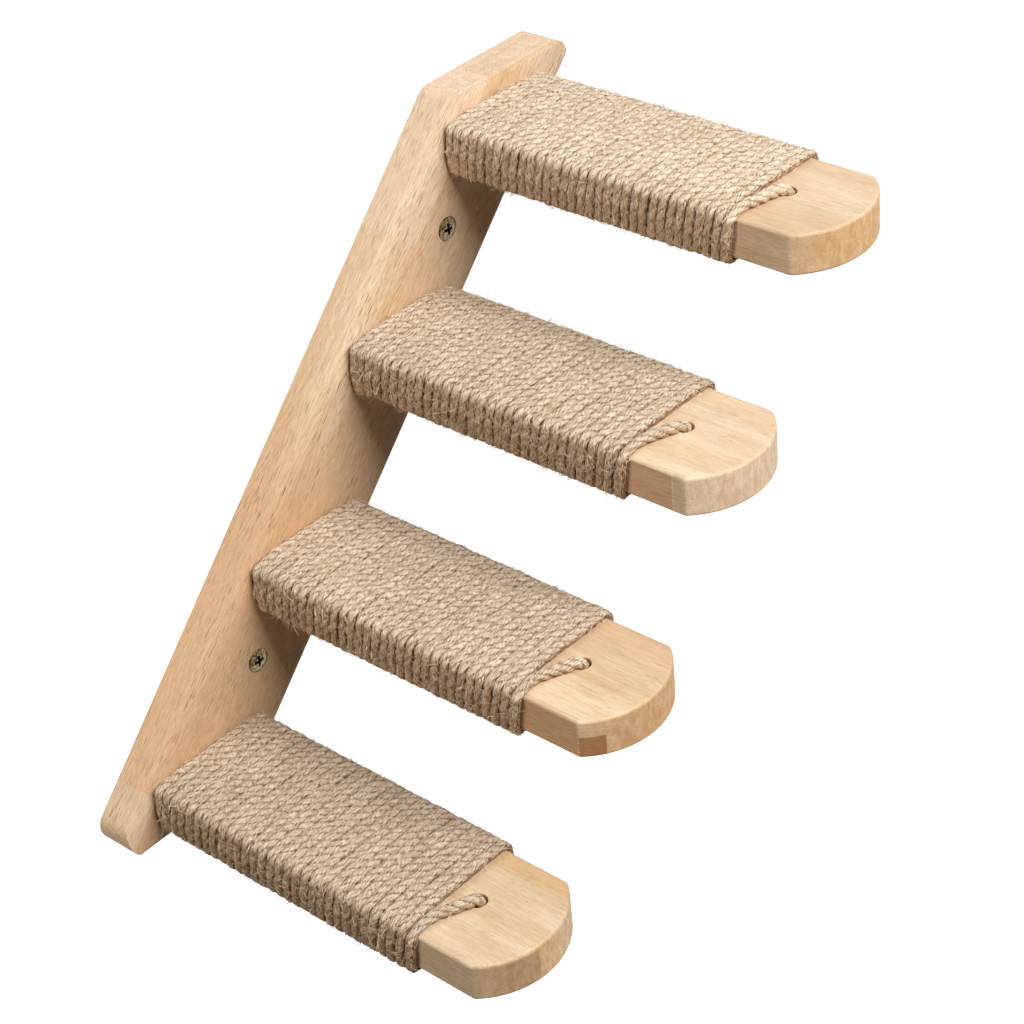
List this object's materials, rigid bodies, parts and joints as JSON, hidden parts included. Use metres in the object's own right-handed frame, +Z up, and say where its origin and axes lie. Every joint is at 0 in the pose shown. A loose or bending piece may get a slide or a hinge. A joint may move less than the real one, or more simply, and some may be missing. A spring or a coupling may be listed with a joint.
{
  "type": "wall-mounted cat ladder",
  "caption": "Leaning wooden back board that screws flat to a wall and carries rope-wound plank treads with rounded bare tips, as a short stair for a cat.",
  "frame": {"origin": "middle of the back board's rear face, on the wall plane", "axes": "+Z up, +Y into the wall, the treads reach out along -Y and the board leans towards +X at its top"},
  "size_m": [0.35, 0.247, 0.2834],
  "materials": {
    "board_wood": "satin clear finish over pale rubberwood",
    "tread_wood": "satin clear finish over pale rubberwood",
    "dowel_wood": "plain turned beech",
    "jute_rope": "natural twisted jute",
    "wall_screw_metal": "dull yellow zinc",
    "tread_screw_metal": "bright zinc"
  },
  "bodies": {
    "root": {"back_board": "board_wood", "tread_1": "tread_wood", "tread_2": "tread_wood", "tread_3": "tread_wood", "tread_4": "tread_wood", "rope_wrap_1": "jute_rope", "rope_wrap_2": "jute_rope", "rope_wrap_3": "jute_rope", "rope_wrap_4": "jute_rope", "tread_dowel_1": "dowel_wood", "tread_dowel_2": "dowel_wood", "tread_dowel_3": "dowel_wood", "tread_dowel_4": "dowel_wood", "tread_screws_1": "tread_screw_metal", "tread_screws_2": "tread_screw_metal", "tread_screws_3": "tread_screw_metal", "tread_screws_4": "tread_screw_metal", "wall_screw_upper": "wall_screw_metal", "wall_screw_lower": "wall_screw_metal"}
  },
  "joints": []
}
